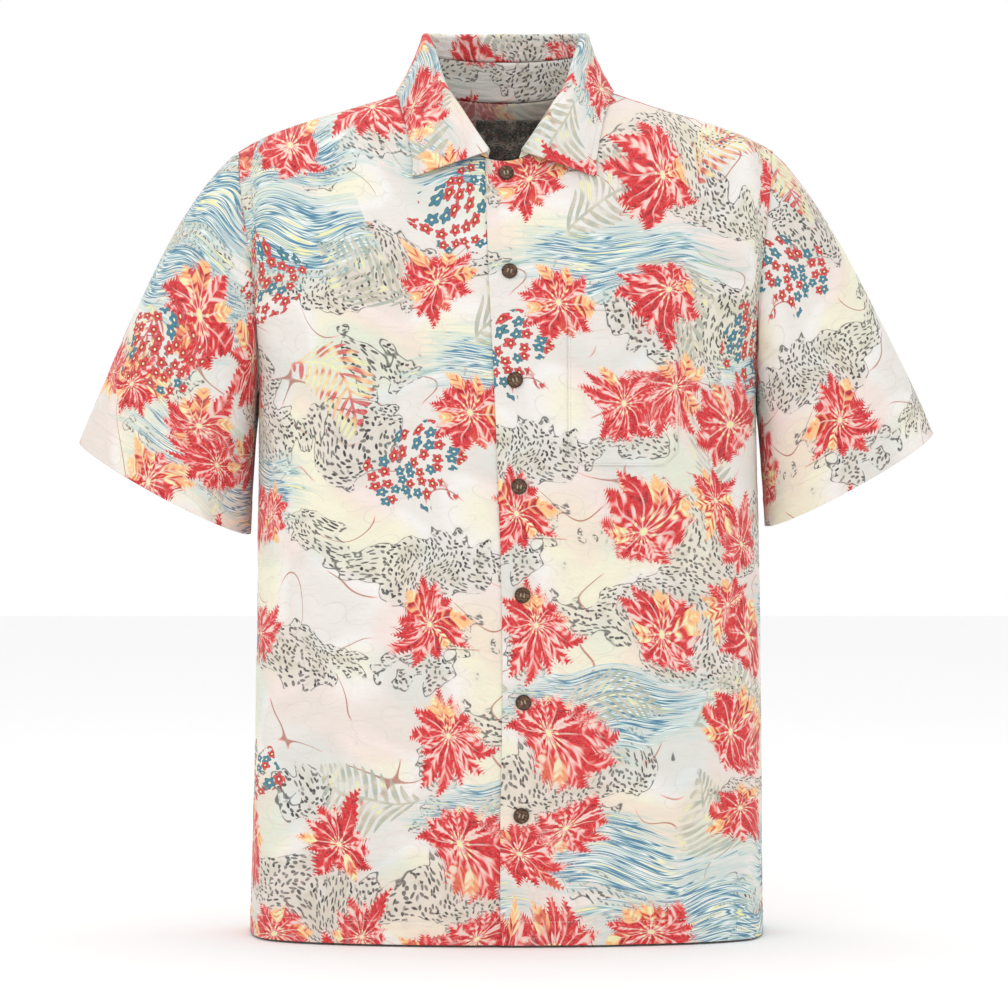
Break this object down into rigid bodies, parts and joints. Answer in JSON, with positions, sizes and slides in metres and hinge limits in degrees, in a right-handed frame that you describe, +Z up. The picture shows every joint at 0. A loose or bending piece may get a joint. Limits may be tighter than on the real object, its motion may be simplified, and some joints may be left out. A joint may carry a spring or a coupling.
{
  "type": "hawaiian shirt",
  "caption": "Short-sleeved camp shirt in its worn, hollow form: two buttoned fronts, yoked back, turned-down collar, set-in sleeves and a chest pocket.",
  "frame": {"origin": "middle of the neck, level with the points where the neck seam crosses the shoulders, where the wearer holds the shirt", "axes": "+Z up the wearer's body, +X to the wearer's left, front towards -Y"},
  "size_m": [0.759, 0.2537, 0.8042],
  "materials": {
    "printed_cloth": "soft plain-woven cotton, cream with a printed pattern of coral red blossoms and steel blue bands",
    "label_cloth": "dark woven label, plain",
    "coconut_button": "polished brown coconut shell with pale flecks"
  },
  "bodies": {
    "root": {"front_left": "printed_cloth", "front_right": "printed_cloth", "back": "printed_cloth", "yoke": "printed_cloth", "sleeve_left": "printed_cloth", "sleeve_right": "printed_cloth", "collar_stand": "printed_cloth", "collar_leaf": "printed_cloth", "pocket": "printed_cloth", "label": "label_cloth", "button_1": "coconut_button", "button_2": "coconut_button", "button_3": "coconut_button", "button_4": "coconut_button", "button_5": "coconut_button", "button_6": "coconut_button", "button_7": "coconut_button"}
  },
  "joints": []
}
